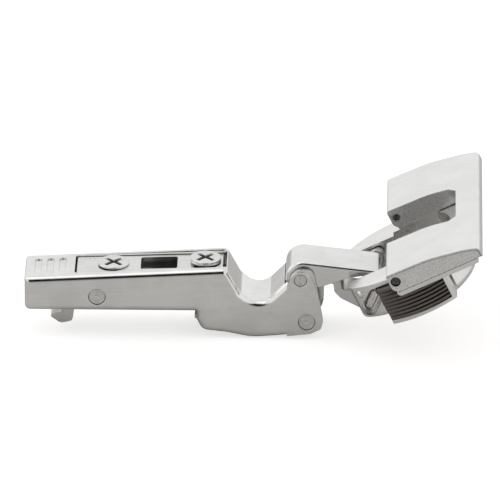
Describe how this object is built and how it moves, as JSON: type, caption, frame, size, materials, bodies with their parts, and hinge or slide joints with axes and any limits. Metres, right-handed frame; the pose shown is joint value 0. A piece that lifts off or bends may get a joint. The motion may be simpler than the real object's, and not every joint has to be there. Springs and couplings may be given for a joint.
{
  "type": "concealed cup hinge",
  "caption": "Concealed furniture hinge with a 35 mm cup, a lever flap that spreads two clamping jaws, a folded steel arm on two links, and a clip-on base with depth and side adjustment.",
  "frame": {"origin": "centre of the clip base's seat, on the plane that rests on the mounting plate", "axes": "+X along the arm from its rear towards the cup, +Y across the arm, +Z away from the mounting plate"},
  "size_m": [0.1088, 0.0572, 0.0333],
  "materials": {
    "arm_steel": "bright nickel on pressed steel",
    "link_steel": "bright nickel on pressed steel",
    "screw_steel": "nickel-plated, turned",
    "cup_zinc": "nickel on a zinc casting",
    "flap_zinc": "bright nickel on a zinc casting",
    "jaw_plastic": "dark grey moulded",
    "pin_steel": "plain steel",
    "spring_steel": "spring steel wire"
  },
  "bodies": {
    "clip_base": {"clip_base": "arm_steel", "clip_pin": "pin_steel", "lever_spring": "spring_steel"},
    "clip_lever": {"clip_lever": "cup_zinc"},
    "slide_channel": {"base_channel": "arm_steel"},
    "depth_screw": {"depth_screw": "screw_steel"},
    "arm": {"hinge_arm": "arm_steel", "rear_rivet": "pin_steel", "upper_link_pin": "pin_steel", "lower_link_pin": "pin_steel"},
    "side_screw": {"side_screw": "screw_steel"},
    "outer_link": {"outer_link": "link_steel"},
    "inner_link": {"inner_link": "link_steel"},
    "cup": {"cup_body": "cup_zinc", "link_bracket_pin": "pin_steel", "closing_spring_near": "spring_steel", "closing_spring_far": "spring_steel", "flap_pin_near": "pin_steel", "flap_pin_far": "pin_steel"},
    "flap": {"fixing_flap": "flap_zinc"},
    "jaw_near": {"jaw_near": "jaw_plastic"},
    "jaw_far": {"jaw_far": "jaw_plastic"}
  },
  "joints": [
    {"name": "catch", "type": "hinge", "parent": "clip_base", "child": "clip_lever", "pos_m": [-0.0115, 0, 0.0034], "axis": [0, 1, 0], "range_deg": [0, 14], "stiffness_Nm_per_rad": 0.15},
    {"name": "depth_slide", "type": "slide", "parent": "clip_base", "child": "slide_channel", "axis": [1, 0, 0], "range_m": [-0.002, 0.003]},
    {"name": "depth_screw_turn", "type": "hinge", "parent": "slide_channel", "child": "depth_screw", "pos_m": [-0.0009, 0, 0.009], "axis": [0, 0, 1], "range_deg": [-145, 217]},
    {"name": "arm_tilt", "type": "hinge", "parent": "slide_channel", "child": "arm", "pos_m": [-0.0047, 0, 0.0038], "axis": [0, 1, 0], "range_deg": [-2.6, 0.4]},
    {"name": "side_screw_turn", "type": "hinge", "parent": "arm", "child": "side_screw", "pos_m": [0.021, 0, 0.009], "axis": [0, 0, 1], "range_deg": [-425, 70]},
    {"name": "outer_link", "type": "hinge", "parent": "arm", "child": "outer_link", "pos_m": [0.0437, 0, 0.0086], "axis": [0, -1, 0], "range_deg": [-27.38, 15.41]},
    {"name": "inner_link", "type": "hinge", "parent": "arm", "child": "inner_link", "pos_m": [0.0452, 0, -0.0024], "axis": [0, -1, 0], "range_deg": [-32.45, 18.26]},
    {"name": "cup_fold", "type": "hinge", "parent": "outer_link", "child": "cup", "pos_m": [0.0618, 0, 0.0083], "axis": [0, -1, 0], "range_deg": [-51.4, 91.37]},
    {"name": "flap_open", "type": "hinge", "parent": "cup", "child": "flap", "pos_m": [0.06637, 0, 0.01772], "axis": [0, -1, 0], "range_deg": [0, 90]},
    {"name": "jaw_near_slide", "type": "slide", "parent": "cup", "child": "jaw_near", "axis": [0, 1, 0], "range_m": [0, 0.0009]},
    {"name": "jaw_far_slide", "type": "slide", "parent": "cup", "child": "jaw_far", "axis": [0, -1, 0], "range_m": [0, 0.0009]}
  ],
  "couplings": [
    {"joint": "depth_screw_turn", "follows": "depth_slide", "rad_per_m": 1256.6},
    {"joint": "side_screw_turn", "follows": "arm_tilt", "ratio": 161.5},
    {"joint": "outer_link", "follows": "cup_fold", "ratio": -0.29957},
    {"joint": "inner_link", "follows": "cup_fold", "ratio": -0.35505},
    {"joint": "jaw_near_slide", "follows": "flap_open", "m_per_rad": 0.00057238},
    {"joint": "jaw_far_slide", "follows": "flap_open", "m_per_rad": 0.00057238}
  ]
}
